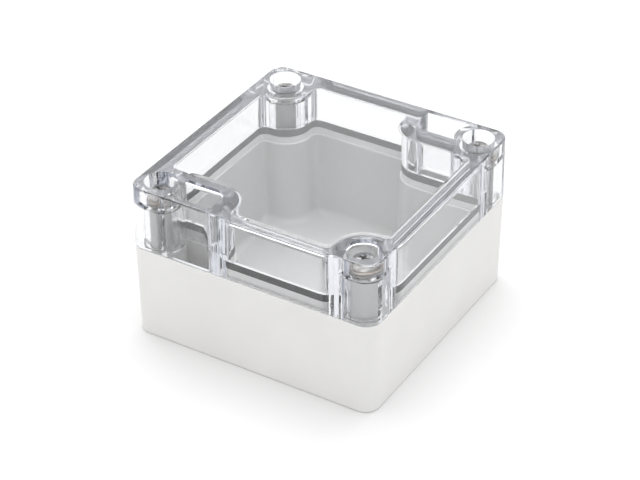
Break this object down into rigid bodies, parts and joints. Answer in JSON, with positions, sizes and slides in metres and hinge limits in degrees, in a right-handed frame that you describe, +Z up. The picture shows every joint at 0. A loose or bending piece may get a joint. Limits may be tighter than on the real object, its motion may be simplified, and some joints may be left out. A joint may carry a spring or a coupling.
{
  "type": "clear-lid screw-down electrical enclosure",
  "caption": "Small square wall-mounting plastic enclosure with a deep clear screw-down lid, a gasket under it, corner screws in recesses, and wells for mounting screws.",
  "frame": {"origin": "middle of the underside of the tub, on the surface it rests or mounts on", "axes": "+Z up through the lid; +X to the right along the front face; +Y from the front face to the back face"},
  "size_m": [0.09, 0.09, 0.056],
  "materials": {
    "moulded_grey": "fine moulded texture",
    "clear_polycarbonate": "clear, polished",
    "black_rubber": "matt",
    "stainless_steel": "bright machined",
    "washer_metal": "satin",
    "brass": "machined"
  },
  "bodies": {
    "base": {"base_tub": "moulded_grey", "threaded_bush_front_left": "brass", "threaded_bush_front_right": "brass", "threaded_bush_back_right": "brass", "threaded_bush_back_left": "brass"},
    "lid": {"clear_lid": "clear_polycarbonate", "lid_gasket": "black_rubber"},
    "washer_front_left": {"screw_washer_front_left": "washer_metal"},
    "screw_front_left": {"lid_screw_front_left": "stainless_steel"},
    "washer_front_right": {"screw_washer_front_right": "washer_metal"},
    "screw_front_right": {"lid_screw_front_right": "stainless_steel"},
    "washer_back_right": {"screw_washer_back_right": "washer_metal"},
    "screw_back_right": {"lid_screw_back_right": "stainless_steel"},
    "washer_back_left": {"screw_washer_back_left": "washer_metal"},
    "screw_back_left": {"lid_screw_back_left": "stainless_steel"}
  },
  "joints": [
    {"name": "lid_lift", "type": "slide", "parent": "base", "child": "lid", "axis": [0, 0, 1], "range_m": [0, 0.04]},
    {"name": "screw_rise_front_left", "type": "slide", "parent": "lid", "child": "washer_front_left", "axis": [0, 0, 1], "range_m": [0, 0.0112]},
    {"name": "screw_turn_front_left", "type": "hinge", "parent": "washer_front_left", "child": "screw_front_left", "pos_m": [-0.0369, -0.0369, 0.0508], "axis": [0, 0, 1], "range_deg": [0, 5761]},
    {"name": "screw_rise_front_right", "type": "slide", "parent": "lid", "child": "washer_front_right", "axis": [0, 0, 1], "range_m": [0, 0.0112]},
    {"name": "screw_turn_front_right", "type": "hinge", "parent": "washer_front_right", "child": "screw_front_right", "pos_m": [0.0369, -0.0369, 0.0508], "axis": [0, 0, 1], "range_deg": [0, 5761]},
    {"name": "screw_rise_back_right", "type": "slide", "parent": "lid", "child": "washer_back_right", "axis": [0, 0, 1], "range_m": [0, 0.0112]},
    {"name": "screw_turn_back_right", "type": "hinge", "parent": "washer_back_right", "child": "screw_back_right", "pos_m": [0.0369, 0.0369, 0.0508], "axis": [0, 0, 1], "range_deg": [0, 5761]},
    {"name": "screw_rise_back_left", "type": "slide", "parent": "lid", "child": "washer_back_left", "axis": [0, 0, 1], "range_m": [0, 0.0112]},
    {"name": "screw_turn_back_left", "type": "hinge", "parent": "washer_back_left", "child": "screw_back_left", "pos_m": [-0.0369, 0.0369, 0.0508], "axis": [0, 0, 1], "range_deg": [0, 5761]}
  ],
  "couplings": [
    {"joint": "screw_turn_front_left", "follows": "screw_rise_front_left", "rad_per_m": 8976},
    {"joint": "screw_turn_front_right", "follows": "screw_rise_front_right", "rad_per_m": 8976},
    {"joint": "screw_turn_back_right", "follows": "screw_rise_back_right", "rad_per_m": 8976},
    {"joint": "screw_turn_back_left", "follows": "screw_rise_back_left", "rad_per_m": 8976}
  ]
}
